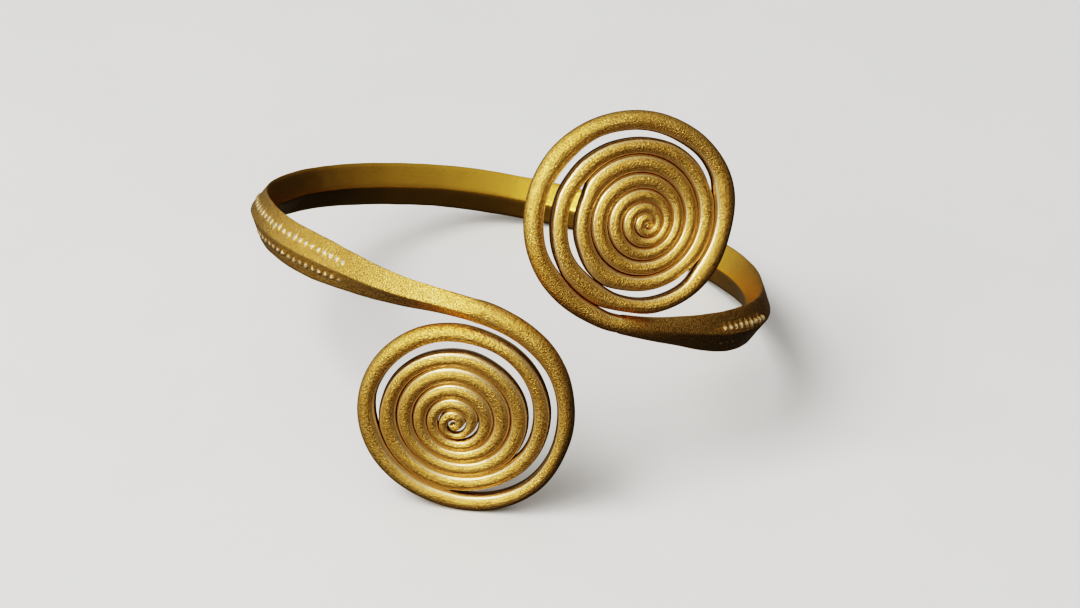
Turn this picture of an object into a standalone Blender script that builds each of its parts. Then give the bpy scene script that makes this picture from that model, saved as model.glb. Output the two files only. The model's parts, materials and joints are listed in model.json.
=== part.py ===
"""Spiral bracelet: one gold bar, drawn out at both ends into round wire and coiled into two flat discs.

The bar's middle is hammered to a tall lozenge section and bent to a hoop that goes round the arm. At the
front each end crosses the opening and winds inwards, one coil below the hoop and one above it.
Axes: +X is to the right as seen from the front, -Y is the front with the two coils, +Z is up as it lies.
"""

import bmesh
import bpy
import numpy as np
from math import cos, pi, sin

MM = 0.001

# Hoop, on the centreline of the bar.
HOOP_HALF_WIDTH = 33.0 * MM
HOOP_HALF_DEPTH = 31.3 * MM
HOOP_SKEW = -0.21 * MM  # hand bending: one diagonal is drawn in and the other let out
HOOP_LOBES = (-0.59 * MM, 0.50 * MM)  # and the round is very slightly three-cornered
# Places where the hand-bent round stands out or in, and where it stands higher or lower: by how much, at
# what angle, and how far round it reaches.
HOOP_BULGES = (
    (0.60 * MM, 4.61, 0.13), (-0.17 * MM, 4.90, 0.20), (0.20 * MM, 1.92, 0.20), (-0.12 * MM, 1.45, 0.15),
)
HOOP_LIFTS = ((-0.28 * MM, 5.74, 0.20), (0.12 * MM, 0.57, 0.14), (0.12 * MM, 3.36, 0.28))
HOOP_END_LEFT = 1.01  # radians from the front, where the bar starts to swing down to the lower coil
HOOP_END_RIGHT = 1.02
HOOP_LEFT_RISE = 0.21 * MM  # how far each end stands off the hoop's plane
HOOP_RIGHT_RISE = -0.76 * MM

# Lozenge section of the bar.
BAR_HALF_HEIGHT = 2.97 * MM
BAR_HALF_THICKNESS = 1.62 * MM
BAR_FULL_FROM = 1.06  # radians from the front, where the lozenge has its whole height
BAR_ROUND_FROM = 0.14  # radians from the front, where it is down to the size of the wire
RIDGE_FROM = (0.12, 0.28)  # radians from the front, left and right, where its ridges begin
RIDGE_FULL = (0.42, 0.72)  # and where they are as sharp as the bar's

# Coils.
OUTER_TURN = 6.0  # turns from the eye to the point where the wire leaves the coil for the hoop
GROOVE_WIDTH = 0.12 * MM  # between turns that lie close
WIRE_DEPTH_AT_EYE = 0.80 * MM  # half thickness, front to back
WIRE_DEPTH_GROWTH = 0.085 * MM  # and what a turn adds

# Lower coil, hanging below the left end's bar. SPREAD is the distance from the middle to the groove outside
# each turn: its value at the eye, then how much a turn adds, and how much that grows.
LOWER_CENTRE = (-8.13 * MM, -32.9 * MM, -14.2 * MM)
LOWER_SPREAD = (1.404 * MM, 1.385 * MM, 0.0856 * MM, 0.0098 * MM)
LOWER_TURN_OUT = -0.214  # radians, about the hoop's axis
LOWER_TIP_UP = -0.242  # radians, negative where the face looks down
LOWER_PHASE = 0.229  # turns
LOWER_DRIFT = (0.085 * MM, 0.307 * MM)  # each turn is this far off centre, to the side and up
LOWER_HOOK_END = -0.34  # turns, where the wire's tip stops
LOWER_EYE = (0.30 * MM, 0.22 * MM, 2.2)  # the hole there: radius, off centre, and which way in radians
LOWER_GAPS = (  # turn, and how far the groove there stands open, in mm
    (-1.40, 0.0), (-0.45, 0.0), (-0.40, 0.20), (-0.27, 0.28), (-0.19, 0.34), (-0.10, 0.40), (-0.02, 0.40),
    (0.06, 0.30), (0.12, 0.06), (0.16, 0.0), (0.34, 0.0), (0.40, 0.08), (0.48, 0.08), (0.56, 0.0),
    (0.66, 0.03), (0.73, 0.14), (0.81, 0.27), (0.90, 0.34), (0.98, 0.26), (1.05, 0.06), (1.12, 0.0),
    (3.88, 0.0), (3.93, 0.30), (4.00, 0.56), (4.07, 0.93), (4.13, 1.30), (4.17, 1.42), (4.23, 1.20),
    (4.28, 1.26), (4.35, 1.02), (4.43, 0.80), (4.465, 0.78), (4.51, 0.40), (4.55, 0.0), (4.72, 0.0),
    (4.76, 0.40), (4.82, 0.90), (4.865, 1.06), (4.93, 0.93), (5.00, 0.80), (5.04, 0.90), (5.08, 1.02),
    (5.155, 0.86), (5.23, 0.88), (5.27, 0.66), (5.34, 0.0),
)
LOWER_STRAYS = (  # turn, and how far the hand-wound groove there strays outwards from its even spiral, in mm
    (-0.40, 0.0), (-0.27, 0.05), (-0.19, 0.0), (-0.10, -0.15), (-0.02, -0.22), (0.06, -0.15), (0.14, 0.0),
    (0.66, 0.0), (0.73, -0.05), (0.81, -0.05), (0.90, -0.15), (0.98, -0.15), (1.08, 0.0),
    (3.98, 0.0), (4.08, 0.12), (4.17, 0.16), (4.29, 0.02), (4.38, -0.11), (4.52, 0.0), (4.76, 0.0),
    (4.83, 0.10), (4.87, 0.11), (4.92, 0.03), (4.98, -0.05), (5.04, 0.10), (5.10, 0.23), (5.155, 0.18),
    (5.20, 0.10), (5.245, 0.19), (5.29, 0.0), (5.35, -0.30), (5.45, -0.38), (5.59, -0.22), (5.70, -0.40),
    (5.80, -0.13), (5.87, -0.28), (5.96, -0.82), (6.02, -0.80), (6.09, -0.43), (6.13, -0.27), (6.18, -0.27),
    (6.229, -0.10),
)

# Upper coil, standing above the right end's bar.
UPPER_CENTRE = (10.41 * MM, -32.7 * MM, 14.6 * MM)
UPPER_SPREAD = (1.473 * MM, 1.236 * MM, 0.1231 * MM, 0.0038 * MM)
UPPER_TURN_OUT = 0.200
UPPER_TIP_UP = 0.110
UPPER_PHASE = 0.252
UPPER_DRIFT = (-0.264 * MM, 0.095 * MM)
UPPER_HOOK_END = -0.80
UPPER_EYE = (0.02 * MM, 0.0, 0.0)
UPPER_GAPS = (
    (3.92, 0.0), (3.94, 0.38), (3.97, 0.84), (4.01, 0.92), (4.05, 0.78), (4.085, 0.80), (4.12, 0.52),
    (4.155, 0.10), (4.19, 0.0), (4.235, 0.55), (4.29, 0.84), (4.34, 0.90), (4.38, 0.80), (4.415, 0.22),
    (4.44, 0.0), (4.56, 0.0), (4.595, 0.56), (4.63, 0.58), (4.69, 0.46), (4.74, 0.74), (4.80, 0.98),
    (4.85, 1.11), (4.91, 0.88), (4.97, 1.0), (5.00, 0.98), (5.045, 0.82), (5.07, 0.70), (5.10, 0.40),
    (5.13, 0.0), (5.205, 0.0), (5.235, 0.40), (5.28, 0.54), (5.34, 0.30), (5.40, 0.0),
)
UPPER_STRAYS = (
    (3.90, 0.0), (3.96, -0.08), (4.02, 0.0), (4.08, 0.10), (4.16, 0.12), (4.24, 0.10), (4.30, 0.20),
    (4.36, 0.24), (4.42, 0.0), (4.56, 0.0), (4.63, 0.16), (4.69, -0.02), (4.75, -0.14), (4.80, -0.15),
    (4.85, -0.02), (4.90, 0.0), (4.935, 0.05), (4.97, 0.22), (5.02, 0.24), (5.07, 0.26), (5.10, 0.16),
    (5.14, 0.05), (5.20, 0.0), (5.25, 0.05), (5.31, 0.46), (5.42, 0.27), (5.49, -0.03), (5.575, 0.33),
    (5.65, 0.04), (5.72, -0.25), (5.80, -0.30), (5.86, -0.16), (5.93, 0.06), (6.04, -0.11), (6.10, -0.30),
    (6.20, -0.68), (6.252, -0.45),
)

# Length of the pull that shapes each swing from the hoop into its coil.
LOWER_SWING = (9.9 * MM, 10.1 * MM)  # at the coil, at the hoop
UPPER_SWING = (7.7 * MM, 6.1 * MM)
EASING = 3.5 * MM  # reach of the hand smoothing where hoop and swings meet

# How it lies: on the bar's lower edge at the back right and on the foot of the lower coil.
LYING_UP = (-0.195, -0.2888, 0.9358)  # the upward direction, in the axes of the hoop
REST_FLAT_DEPTH = 0.18 * MM  # the small flats worn where it touches

# Fineness.
SIDES = 8
STEPS_PER_TURN = 30
HOOP_STEPS = 108
SWING_STEPS = 12


def unit(v):
    v = np.asarray(v, float)
    return v / np.linalg.norm(v, axis=-1, keepdims=True)


def smooth(x):
    x = np.clip(x, 0.0, 1.0)
    return x * x * (3.0 - 2.0 * x)


def between_places(turn, places):
    """A value stated in millimetres at some turns, running smoothly from one to the next."""
    place, value = np.array(places).T
    steep = np.diff(value) / np.diff(place)
    before, after = steep[:-1], steep[1:]
    same_way = before * after > 0
    slope = np.zeros(len(place))
    slope[1:-1][same_way] = (2 * before * after / np.where(same_way, before + after, 1.0))[same_way]
    k = np.clip(np.searchsorted(place, turn, side="right") - 1, 0, len(place) - 2)
    step = place[k + 1] - place[k]
    s = np.clip((turn - place[k]) / step, 0.0, 1.0)
    level = value[k] + (value[k + 1] - value[k]) * smooth(s)
    bend = slope[k] * s * (1 - s) ** 2 - slope[k + 1] * s**2 * (1 - s)
    return (level + step * bend) * MM


def groove_radius(turn, spread, strays):
    even = spread[0] + spread[1] * turn + spread[2] * turn**2 + spread[3] * turn**3
    return even + between_places(turn, strays)


def coil_axes(turn_out, tip_up):
    """The coil's own right, up and facing directions."""
    facing = np.array([sin(turn_out) * cos(tip_up), -cos(turn_out) * cos(tip_up), sin(tip_up)])
    up = unit(np.array([0.0, 0.0, 1.0]) - facing[2] * facing)
    return np.cross(up, facing), up, facing


def eye_rim(angle, eye):
    """How far the eye's rim is from the middle of the coil."""
    hole, aside, way = eye
    return aside * np.cos(angle - way) + np.sqrt(hole**2 - (aside * np.sin(angle - way)) ** 2)


def coil(turns, centre, spread, turn_out, tip_up, phase, drift, eye, gaps, strays, start_side):
    """Centreline, half width, half depth and facing of a coil; start_side is 1 if it is met from above."""
    right, up, facing = coil_axes(turn_out, tip_up)
    angle = 2.0 * pi * (turns - phase) + start_side * pi / 2.0
    outside = groove_radius(turns, spread, strays)
    inside = np.maximum(groove_radius(turns - 1.0, spread, strays), eye_rim(angle, eye))
    groove_out = np.maximum(between_places(turns, gaps), GROOVE_WIDTH)
    groove_in = np.maximum(between_places(turns - 1.0, gaps), GROOVE_WIDTH)
    radius = (outside + inside) / 2.0 - (groove_out - groove_in) / 4.0
    half = (outside - inside) / 2.0 - (groove_out + groove_in) / 4.0
    half += (drift[0] * np.cos(angle) + drift[1] * np.sin(angle)) / 2.0  # so that the turns still meet
    depth = np.minimum(WIRE_DEPTH_AT_EYE + WIRE_DEPTH_GROWTH * turns, 1.6 * half)
    off = turns - 0.5
    points = (
        np.array(centre)
        + np.outer(drift[0] * off + radius * np.cos(angle), right)
        + np.outer(drift[1] * off + radius * np.sin(angle), up)
    )
    return points, half, depth, np.tile(facing, (len(turns), 1))


def leaving(turn, shape):
    """The direction in which the wire runs outwards at the end of a coil."""
    points = coil(np.array([turn - 0.01, turn]), *shape)[0]
    return unit(points[1] - points[0])


def hoop(angle):
    """The bar's centreline from the left end round the back to the right end."""
    start, end = 2.0 * pi - HOOP_END_LEFT, HOOP_END_RIGHT
    along = (start - angle) / (start - end)
    height = HOOP_LEFT_RISE * (1.0 - along) ** 2 + HOOP_RIGHT_RISE * along**2
    bent = (
        HOOP_SKEW * np.sin(2.0 * angle)
        + HOOP_LOBES[0] * np.cos(3.0 * angle)
        + HOOP_LOBES[1] * np.sin(3.0 * angle)
    )
    bent += sum(bulge * np.exp(-(((angle - at) / reach) ** 2)) for bulge, at, reach in HOOP_BULGES)
    out_of_round = 1.0 + bent / HOOP_HALF_WIDTH
    x = HOOP_HALF_WIDTH * out_of_round * np.sin(angle)
    y = -HOOP_HALF_DEPTH * out_of_round * np.cos(angle)
    return np.stack([x, y, height], axis=1)


def swing(start, start_pull, end, end_pull, steps):
    """A bend that leaves start along start_pull and meets end along end_pull."""
    s = np.linspace(0.0, 1.0, steps)[:, None]
    return (
        (1 - s) ** 3 * start
        + 3 * (1 - s) ** 2 * s * (start + start_pull)
        + 3 * (1 - s) * s**2 * (end - end_pull)
        + s**3 * end
    )


def eased(values, length, first, last):
    """Smooths values along the wire between the coils, fading to nothing at each coil."""
    share = np.gradient(length)
    weight = np.exp(-(((length[:, None] - length[None, :]) / EASING) ** 2) / 2.0) * share
    mean = weight @ values / weight.sum(axis=1)[:, None]
    near_coil = np.minimum(length - first, last - length)
    blend = smooth(near_coil / (3.0 * EASING))[:, None]
    return values * (1.0 - blend) + mean * blend


def centreline(steps_per_turn, hoop_steps, swing_steps):
    """The whole wire, from the lower coil's tip to the upper coil's."""
    lower_turns = np.arange(
        LOWER_HOOK_END, OUTER_TURN + LOWER_PHASE + 1e-6, 1.0 / steps_per_turn
    )
    lower_turns += OUTER_TURN + LOWER_PHASE - lower_turns[-1]
    upper_turns = np.arange(
        UPPER_HOOK_END, OUTER_TURN + UPPER_PHASE + 1e-6, 1.0 / steps_per_turn
    )
    upper_turns += OUTER_TURN + UPPER_PHASE - upper_turns[-1]
    lower = (
        LOWER_CENTRE, LOWER_SPREAD, LOWER_TURN_OUT, LOWER_TIP_UP,
        LOWER_PHASE, LOWER_DRIFT, LOWER_EYE, LOWER_GAPS, LOWER_STRAYS, 1,
    )
    upper = (
        UPPER_CENTRE, UPPER_SPREAD, UPPER_TURN_OUT, UPPER_TIP_UP,
        UPPER_PHASE, UPPER_DRIFT, UPPER_EYE, UPPER_GAPS, UPPER_STRAYS, -1,
    )
    low, low_half, low_depth, low_out = coil(lower_turns, *lower)
    top, top_half, top_depth, top_out = coil(upper_turns, *upper)
    top, top_half, top_depth, top_out = top[::-1], top_half[::-1], top_depth[::-1], top_out[::-1]
    bar = hoop(np.linspace(2.0 * pi - HOOP_END_LEFT, HOOP_END_RIGHT, hoop_steps))
    bar_start = hoop(2.0 * pi - HOOP_END_LEFT - np.array([0.0, 0.01]))
    bar_end = hoop(HOOP_END_RIGHT + np.array([0.01, 0.0]))
    bar_out = unit(bar * [1.0 / HOOP_HALF_WIDTH**2, 1.0 / HOOP_HALF_DEPTH**2, 0.0])
    down = swing(
        low[-1], leaving(lower_turns[-1], lower) * LOWER_SWING[0],
        bar[0], unit(bar_start[1] - bar_start[0]) * LOWER_SWING[1], swing_steps,
    )[1:-1]
    rise = swing(
        bar[-1], unit(bar_end[1] - bar_end[0]) * UPPER_SWING[1],
        top[0], -leaving(upper_turns[-1], upper) * UPPER_SWING[0], swing_steps,
    )[1:-1]
    share = smooth(np.linspace(0.0, 1.0, swing_steps))[1:-1, None]
    down_out = unit((1 - share) * low_out[-1] + share * bar_out[0])
    rise_out = unit((1 - share) * bar_out[-1] + share * top_out[0])
    points = np.vstack([low, down, bar, rise, top])
    outward = np.vstack([low_out, down_out, bar_out, rise_out, top_out])
    length = np.concatenate([[0.0], np.linalg.norm(np.diff(points, axis=0), axis=1)]).cumsum()
    first, last = length[len(low) - 1], length[-len(top)]
    across = np.clip((length - first) / (last - first), 0.0, 1.0)
    half = low_half[-1] + (top_half[0] - low_half[-1]) * across
    half[: len(low)], half[-len(top):] = low_half, top_half
    depth = low_depth[-1] + (top_depth[0] - low_depth[-1]) * across
    depth[: len(low)], depth[-len(top):] = low_depth, top_depth
    in_coil = np.ones(len(points))
    in_coil[len(low): -len(top)] = 0.0
    outward = unit(eased(outward, length, first, last))
    points = eased(points, length, first, last)
    angle = np.arctan2(points[:, 0], -points[:, 1]) % (2.0 * pi)
    lift = sum(height * np.exp(-(((angle - at) / reach) ** 2)) for height, at, reach in HOOP_LIFTS)
    points[:, 2] += lift * smooth(np.minimum(length - first, last - length) / (3.0 * EASING))
    return points, half, depth, outward, in_coil


def section_shares(points, in_coil):
    """How far the section has gone from wire to bar, 0 to 1: in its size, and in its shape."""
    azimuth = np.arctan2(points[:, 0], -points[:, 1])
    right = (azimuth > 0).astype(int)
    size = smooth((np.abs(azimuth) - BAR_ROUND_FROM) / (BAR_FULL_FROM - BAR_ROUND_FROM))
    start, full = np.array(RIDGE_FROM)[right], np.array(RIDGE_FULL)[right]
    shape = smooth((np.abs(azimuth) - start) / (full - start))
    return np.where(in_coil > 0.5, 0.0, size), np.where(in_coil > 0.5, 0.0, shape)


def wire_rings(points, half, depth, outward, size, shape, sides):
    """One ring of points round the wire at each station."""
    tangent = unit(np.gradient(points, axis=0))
    out = unit(outward - (outward * tangent).sum(axis=1)[:, None] * tangent)
    side = np.cross(tangent, out)
    tall = half * (1 - size) + BAR_HALF_HEIGHT * size
    thick = depth * (1 - size) + BAR_HALF_THICKNESS * size
    rings = []
    for k in range(sides):
        a = 2.0 * pi * k / sides
        flat = 1.0 / (abs(cos(a)) + abs(sin(a)))
        reach = (1 - shape) + shape * flat
        across = reach * tall * cos(a)
        deep = reach * thick * sin(a)
        rings.append(points + across[:, None] * side + deep[:, None] * out)
    return np.stack(rings, axis=1), tangent


def lying(points):
    """Turns the hoop's axes into the axes of the bracelet as it lies."""
    z = unit(LYING_UP)
    x = unit(np.array([1.0, 0.0, 0.0]) - z[0] * z)
    return points @ np.stack([x, np.cross(z, x), z]).T


def build_mesh(rings, tangent, half):
    bm = bmesh.new()
    stations, sides = rings.shape[:2]
    grid = [[bm.verts.new(rings[i, k]) for k in range(sides)] for i in range(stations)]
    for i in range(stations - 1):
        for k in range(sides):
            j = (k + 1) % sides
            bm.faces.new((grid[i][k], grid[i][j], grid[i + 1][j], grid[i + 1][k]))
    for end, way in ((0, -1.0), (stations - 1, 1.0)):
        middle = rings[end].mean(axis=0)
        ahead = way * tangent[end] * half[end]
        lip = [bm.verts.new(middle + 0.62 * (rings[end, k] - middle) + 0.45 * ahead) for k in range(sides)]
        tip = bm.verts.new(middle + 0.62 * ahead)
        for k in range(sides):
            j = (k + 1) % sides
            bm.faces.new((grid[end][k], grid[end][j], lip[j], lip[k]))
            bm.faces.new((lip[k], lip[j], tip))
    bmesh.ops.recalc_face_normals(bm, faces=bm.faces)
    mesh = bpy.data.meshes.new("bracelet")
    bm.to_mesh(mesh)
    bm.free()
    return mesh


def gold():
    material = bpy.data.materials.new("gold")
    material.use_nodes = True
    shader = material.node_tree.nodes["Principled BSDF"]
    shader.inputs["Base Color"].default_value = (0.83, 0.54, 0.16, 1.0)
    shader.inputs["Metallic"].default_value = 1.0
    shader.inputs["Roughness"].default_value = 0.32
    return material


def main():
    for thing in list(bpy.data.objects):
        bpy.data.objects.remove(thing, do_unlink=True)
    points, half, depth, outward, in_coil = centreline(STEPS_PER_TURN, HOOP_STEPS, SWING_STEPS)
    size, shape = section_shares(points, in_coil)
    rings, tangent = wire_rings(points, half, depth, outward, size, shape, SIDES)
    rings = lying(rings)
    tangent = lying(tangent)
    low = rings.min(axis=(0, 1))
    high = rings.max(axis=(0, 1))
    rings -= [(low[0] + high[0]) / 2.0, (low[1] + high[1]) / 2.0, low[2] + REST_FLAT_DEPTH]
    rings[..., 2] = np.maximum(rings[..., 2], 0.0)
    bracelet = bpy.data.objects.new("bracelet", build_mesh(rings, tangent, half))
    bpy.context.scene.collection.objects.link(bracelet)
    bracelet.data.materials.append(gold())
    bracelet.data.shade_smooth()
    bracelet.data.set_sharp_from_angle(angle=0.6)


main()
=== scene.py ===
"""Spiral bracelet of gold: one bar, lozenge in section, drawn out at both ends into round wire and coiled.

The wire is built from its own dimensions, its facets are hammered and punched, and it is given a worn gold
finish, with shade, reflections and glints painted into its colour. A plain pale floor, soft lamps and a
camera go with it.
"""

import json
from math import cos, pi, radians, sin

import bpy
import numpy as np
from mathutils import Matrix, Vector, noise

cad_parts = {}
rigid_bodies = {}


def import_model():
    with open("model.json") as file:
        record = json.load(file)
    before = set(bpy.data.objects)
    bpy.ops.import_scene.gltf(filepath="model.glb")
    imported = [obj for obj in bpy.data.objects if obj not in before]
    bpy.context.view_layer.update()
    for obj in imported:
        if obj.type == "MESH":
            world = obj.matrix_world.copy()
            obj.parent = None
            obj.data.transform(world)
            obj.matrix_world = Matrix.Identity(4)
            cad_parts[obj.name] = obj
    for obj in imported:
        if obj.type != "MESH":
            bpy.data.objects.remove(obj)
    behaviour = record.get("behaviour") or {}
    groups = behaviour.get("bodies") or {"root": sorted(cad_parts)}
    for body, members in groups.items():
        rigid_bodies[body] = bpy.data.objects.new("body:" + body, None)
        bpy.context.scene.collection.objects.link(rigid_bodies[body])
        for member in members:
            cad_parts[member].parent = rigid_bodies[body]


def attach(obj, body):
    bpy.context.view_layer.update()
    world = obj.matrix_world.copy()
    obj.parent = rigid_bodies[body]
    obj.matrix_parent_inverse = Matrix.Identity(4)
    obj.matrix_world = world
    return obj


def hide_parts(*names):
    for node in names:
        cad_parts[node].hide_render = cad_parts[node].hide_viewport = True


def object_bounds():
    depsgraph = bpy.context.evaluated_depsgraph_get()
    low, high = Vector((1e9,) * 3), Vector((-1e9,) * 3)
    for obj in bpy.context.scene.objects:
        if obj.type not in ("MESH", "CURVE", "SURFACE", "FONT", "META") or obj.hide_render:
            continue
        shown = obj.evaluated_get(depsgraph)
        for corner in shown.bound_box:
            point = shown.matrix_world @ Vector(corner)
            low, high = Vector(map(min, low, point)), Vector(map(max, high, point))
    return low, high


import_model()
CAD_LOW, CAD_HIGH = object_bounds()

bl_info = {
    "name": "Spiral Bracelet",
    "version": (1, 0, 0),
    "blender": (4, 5, 0),
    "location": "View3D > Sidebar > Bracelet",
    "description": "Builds a gold bracelet that ends in two spiral coils",
    "category": "Add Mesh",
}

MM = 0.001
PIECE = "bracelet_gold"

# Hoop, on the centreline of the bar.
HOOP_HALF_WIDTH = 33.0 * MM
HOOP_HALF_DEPTH = 31.3 * MM
HOOP_SKEW = -0.21 * MM
HOOP_LOBES = (-0.59 * MM, 0.50 * MM)
HOOP_BULGES = (
    (0.60 * MM, 4.61, 0.13), (-0.17 * MM, 4.90, 0.20), (0.20 * MM, 1.92, 0.20), (-0.12 * MM, 1.45, 0.15),
)
HOOP_LIFTS = ((-0.28 * MM, 5.74, 0.20), (0.12 * MM, 0.57, 0.14), (0.12 * MM, 3.36, 0.28))
HOOP_END_LEFT = 1.01
HOOP_END_RIGHT = 1.02
HOOP_LEFT_RISE = 0.21 * MM
HOOP_RIGHT_RISE = -0.76 * MM

# Lozenge section of the bar.
BAR_HALF_HEIGHT = 2.97 * MM
BAR_HALF_THICKNESS = 1.62 * MM
BAR_FULL_FROM = 1.06
BAR_ROUND_FROM = 0.14
RIDGE_FROM = (0.12, 0.28)
RIDGE_FULL = (0.42, 0.72)

# Coils.
OUTER_TURN = 6.0
WIRE_DEPTH_AT_EYE = 0.80 * MM
WIRE_DEPTH_GROWTH = 0.085 * MM
LOWER = {
    "centre": (-8.13 * MM, -32.9 * MM, -14.2 * MM),
    "spread": (1.404 * MM, 1.385 * MM, 0.0856 * MM, 0.0098 * MM),
    "turn_out": -0.214,
    "tip_up": -0.242,
    "phase": 0.229,
    "drift": (0.085 * MM, 0.307 * MM),
    "hook_end": -0.34,
    "tip_runs_on": 0.05,
    "eye": (0.28 * MM, -0.13 * MM, 0.18 * MM, 1.0),
    "met_from": 1,
    "gaps": (
        (-1.40, 0.0), (-0.45, 0.0), (-0.40, 0.20), (-0.27, 0.28), (-0.19, 0.34), (-0.10, 0.40),
        (-0.02, 0.40), (0.06, 0.30), (0.12, 0.06), (0.16, 0.0), (0.34, 0.0), (0.40, 0.08), (0.48, 0.08),
        (0.56, 0.0), (0.66, 0.03), (0.73, 0.14), (0.81, 0.27), (0.90, 0.34), (0.98, 0.26), (1.05, 0.06),
        (1.12, 0.0), (3.88, 0.0), (3.93, 0.30), (4.00, 0.56), (4.07, 0.93), (4.13, 1.30), (4.17, 1.42),
        (4.23, 1.20), (4.28, 1.26), (4.35, 1.02), (4.43, 0.80), (4.465, 0.78), (4.51, 0.40), (4.55, 0.0),
        (4.72, 0.0), (4.76, 0.40), (4.82, 0.90), (4.865, 1.06), (4.93, 0.93), (5.00, 0.80), (5.04, 0.90),
        (5.08, 1.02), (5.155, 0.86), (5.23, 0.88), (5.27, 0.66), (5.34, 0.0),
    ),
    "shifts": (
        (-0.40, 0.0), (-0.27, 0.05), (-0.19, 0.0), (-0.10, -0.15), (-0.02, -0.22), (0.06, -0.15),
        (0.14, 0.0), (0.66, 0.0), (0.73, -0.05), (0.81, -0.05), (0.90, -0.15), (0.98, -0.15), (1.08, 0.0),
        (3.98, 0.0), (4.08, 0.12), (4.17, 0.16), (4.29, 0.02), (4.38, -0.11), (4.52, 0.0), (4.76, 0.0),
        (4.83, 0.10), (4.87, 0.11), (4.92, 0.03), (4.98, -0.05), (5.04, 0.10), (5.10, 0.23), (5.155, 0.18),
        (5.20, 0.10), (5.245, 0.19), (5.29, 0.0), (5.35, -0.30), (5.45, -0.38), (5.59, -0.22),
        (5.70, -0.40), (5.80, -0.13), (5.87, -0.28), (5.96, -0.82), (6.02, -0.80), (6.09, -0.43),
        (6.13, -0.27), (6.18, -0.27), (6.229, -0.10),
    ),
}
UPPER = {
    "centre": (10.41 * MM, -32.7 * MM, 14.6 * MM),
    "spread": (1.473 * MM, 1.236 * MM, 0.1231 * MM, 0.0038 * MM),
    "turn_out": 0.200,
    "tip_up": 0.110,
    "phase": 0.252,
    "drift": (-0.264 * MM, 0.095 * MM),
    "hook_end": -0.80,
    "tip_runs_on": 0.0,
    "eye": (0.02 * MM, 0.0, 0.0, 0.0),
    "met_from": -1,
    "gaps": (
        (3.92, 0.0), (3.94, 0.38), (3.97, 0.84), (4.01, 0.92), (4.05, 0.78), (4.085, 0.80), (4.12, 0.52),
        (4.155, 0.10), (4.19, 0.0), (4.235, 0.55), (4.29, 0.84), (4.34, 0.90), (4.38, 0.80), (4.415, 0.22),
        (4.44, 0.0), (4.56, 0.0), (4.595, 0.56), (4.63, 0.58), (4.69, 0.46), (4.74, 0.74), (4.80, 0.98),
        (4.85, 1.11), (4.91, 0.88), (4.97, 1.0), (5.00, 0.98), (5.045, 0.82), (5.07, 0.70), (5.10, 0.40),
        (5.13, 0.0), (5.205, 0.0), (5.235, 0.40), (5.28, 0.54), (5.34, 0.30), (5.40, 0.0),
    ),
    "shifts": (
        (3.90, 0.0), (3.96, -0.08), (4.02, 0.0), (4.08, 0.10), (4.16, 0.12), (4.24, 0.10), (4.30, 0.20),
        (4.36, 0.24), (4.42, 0.0), (4.56, 0.0), (4.63, 0.16), (4.69, -0.02), (4.75, -0.14), (4.80, -0.15),
        (4.85, -0.02), (4.90, 0.0), (4.935, 0.05), (4.97, 0.22), (5.02, 0.24), (5.07, 0.26), (5.10, 0.16),
        (5.14, 0.05), (5.20, 0.0), (5.25, 0.05), (5.31, 0.46), (5.42, 0.27), (5.49, -0.03), (5.575, 0.33),
        (5.65, 0.04), (5.72, -0.25), (5.80, -0.30), (5.86, -0.16), (5.93, 0.06), (6.04, -0.11),
        (6.10, -0.30), (6.20, -0.68), (6.252, -0.45),
    ),
}
LOWER_SWING = (9.9 * MM, 10.1 * MM)
UPPER_SWING = (7.7 * MM, 6.1 * MM)
EASING = 3.5 * MM

# How it lies.
LYING_UP = (-0.195, -0.2888, 0.9358)
REST_FLAT_DEPTH = 0.18 * MM

# The solid's own fineness and groove, which set where it stands.
SOLID_GROOVE = 0.12 * MM
SOLID_SIDES = 8
SOLID_STEPS = (30, 108, 12)

# In the finished wire, turns that lie close are pressed together.
TURNS_PRESSED = 0.04 * MM

# Fineness of the finished wire.
WIRE_STEP = 0.60 * MM
EYE_STEP = 0.15  # of the radius, where the coil is tight
HOOP_STEP = 0.50 * MM
DOT_STEP = 0.115 * MM
OUTER_FACET = (
    0.0, 0.035, 0.13, 0.25, 0.36, 0.395, 0.43, 0.465, 0.5, 0.535, 0.57, 0.605, 0.64, 0.75, 0.87, 0.965,
)
# Where the close columns begin and end, how far they reach from their middle, and the share before them.
DENSE_FROM, DENSE_TO, DENSE_REACH, SPARSE_SHARE = 0.35, 0.65, 0.14, 0.36
INNER_FACET = (0.0, 0.035, 0.2, 0.4, 0.6, 0.8, 0.965)
CORNER = 0.06

# Punched rows: side, facet (0 above the ridge, 1 below it), azimuth of the first dot, dots, pitch, places,
# width, how much taller than wide, depth, and the share of the depth at which the hollow middle stands.
DOT_ROWS = (
    (-1, 0, 44.5, 24, 1.31, ((0.0, 0.58), (0.3, 0.55), (0.6, 0.54), (1.0, 0.62)), 0.82, 1.15, 0.22, 0.5),
    (-1, 1, 45.3, 17, 1.32, ((0.0, 0.47), (1.0, 0.44)), 0.66, 1.25, 0.24, 1.0),
    (1, 0, 45.4, 9, 1.48, ((0.0, 0.75), (0.3, 0.71), (1.0, 0.78)), 0.62, 1.7, 0.34, 1.0),
    (1, 1, 46.2, 3, 1.45, ((0.0, 0.47), (0.3, 0.42), (1.0, 0.42)), 0.50, 1.0, 0.14, 1.0),
)


def unit(v):
    v = np.asarray(v, float)
    return v / np.linalg.norm(v, axis=-1, keepdims=True)


def smooth(x):
    x = np.clip(x, 0.0, 1.0)
    return x * x * (3.0 - 2.0 * x)


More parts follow.
